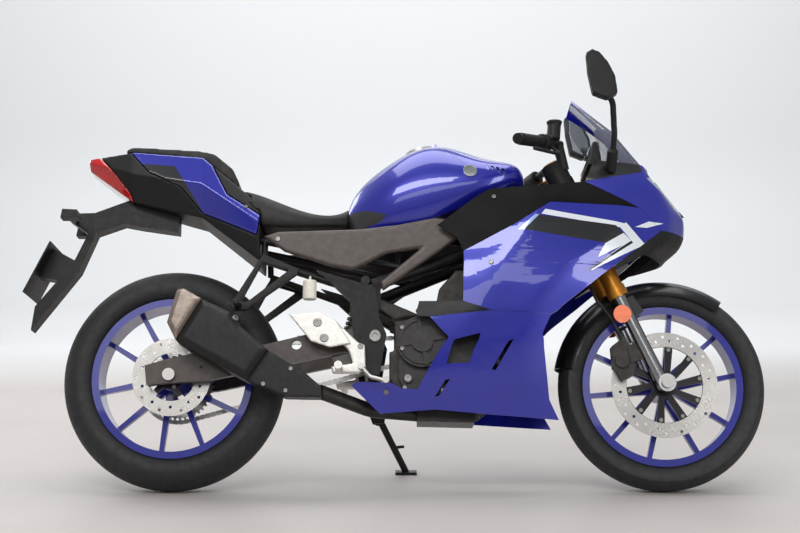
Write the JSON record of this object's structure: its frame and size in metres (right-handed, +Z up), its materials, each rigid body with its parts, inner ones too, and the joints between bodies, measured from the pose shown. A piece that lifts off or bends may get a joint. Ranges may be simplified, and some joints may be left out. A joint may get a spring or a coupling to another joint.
{
  "type": "sport motorcycle",
  "caption": "Small faired sport motorcycle leaning on its side stand, blue with black panels, stubby side muffler, gold fork and forked-spoke wheels.",
  "frame": {"origin": "centre of the bounding box on the floor", "axes": "+X forward along the bike, +Y to the bike's left, +Z up from the floor; the bike leans to +Y on its side stand"},
  "size_m": [2.106, 0.7662, 1.2438],
  "materials": {
    "blue_paint": "gloss metallic",
    "blue_tank": "gloss metallic",
    "blue_rim": "satin",
    "black_gloss": "gloss",
    "black_plastic": "fine grain",
    "taupe_plastic": "satin",
    "taupe_metal": "satin",
    "dark_metal": "satin",
    "engine_alloy": "cast",
    "cover_alloy": "painted cast",
    "bright_alloy": "satin",
    "muffler_cap": "satin",
    "steel": "brushed",
    "chrome": "polished",
    "gold_alloy": "anodised satin",
    "muffler_paint": "matte",
    "rubber": "matte",
    "tyre": "matte",
    "seat_cover": "grained",
    "red_lens": "gloss",
    "amber_lens": "gloss",
    "screen": "smoked",
    "lamp_glass": "clear",
    "white_plastic": "smooth"
  },
  "bodies": {
    "chassis": {"side_fairings": "blue_paint", "nose_cowl": "blue_paint", "belly_pan": "blue_paint", "tail_cowls": "blue_paint", "fuel_tank": "blue_tank", "tank_cover": "blue_tank", "scoop_panels": "black_gloss", "fairing_trim": "black_gloss", "tail_underside": "black_plastic", "rear_fender": "black_plastic", "nose_duct": "black_plastic", "dash": "black_plastic", "mirrors": "black_plastic", "rear_indicators": "black_plastic", "frame_covers": "taupe_plastic", "swingarm": "taupe_metal", "frame": "dark_metal", "pillion_hangers": "dark_metal", "engine": "engine_alloy", "rear_caliper": "engine_alloy", "engine_covers": "cover_alloy", "radiator": "cover_alloy", "rear_shock": "cover_alloy", "heel_plates": "bright_alloy", "rearsets": "bright_alloy", "footpegs": "bright_alloy", "muffler_end": "muffler_cap", "drive_chain": "steel", "rear_axle": "steel", "exhaust_pipes": "steel", "pedals": "steel", "muffler": "muffler_paint", "rider_seat": "seat_cover", "pillion_seat": "seat_cover", "tail_light": "red_lens", "windscreen": "screen", "headlamps": "lamp_glass", "brake_reservoir": "white_plastic"},
    "fork": {"fork_outer_tubes": "gold_alloy", "fork_legs": "chrome", "triple_clamps": "dark_metal", "handlebars": "dark_metal", "grips": "rubber", "controls": "black_plastic", "front_fender": "black_gloss", "front_caliper": "engine_alloy", "front_axle": "steel", "reflectors": "amber_lens"},
    "front_wheel": {"front_rim": "blue_rim", "front_tyre": "tyre", "front_disc": "steel"},
    "rear_wheel": {"rear_rim": "blue_rim", "rear_tyre": "tyre", "rear_disc": "steel", "rear_sprocket": "steel"},
    "side_stand": {"side_stand": "dark_metal"},
    "fuel_cap": {"fuel_cap": "bright_alloy"}
  },
  "joints": [
    {"name": "steering", "type": "hinge", "parent": "chassis", "child": "fork", "pos_m": [0.48973, -0.02384, 0.74886], "axis": [-0.4226, 0.2346, 0.8754], "range_deg": [-26, 26]},
    {"name": "front_wheel_spin", "type": "hinge", "parent": "fork", "child": "front_wheel", "pos_m": [0.76002, -0.14797, 0.28557], "axis": [0, 0.9659, -0.2588], "continuous": true},
    {"name": "rear_wheel_spin", "type": "hinge", "parent": "chassis", "child": "rear_wheel", "pos_m": [-0.62498, -0.14254, 0.30586], "axis": [0, 0.9659, -0.2588], "continuous": true},
    {"name": "side_stand_fold", "type": "hinge", "parent": "chassis", "child": "side_stand", "pos_m": [-0.04698, -0.01798, 0.18345], "axis": [0, 0.9588, 0.284], "range_deg": [0, 100]},
    {"name": "fuel_cap_hinge", "type": "hinge", "parent": "chassis", "child": "fuel_cap", "pos_m": [0.12111, 0.03803, 0.97976], "axis": [0, 0.9659, -0.2588], "range_deg": [0, 95]}
  ]
}
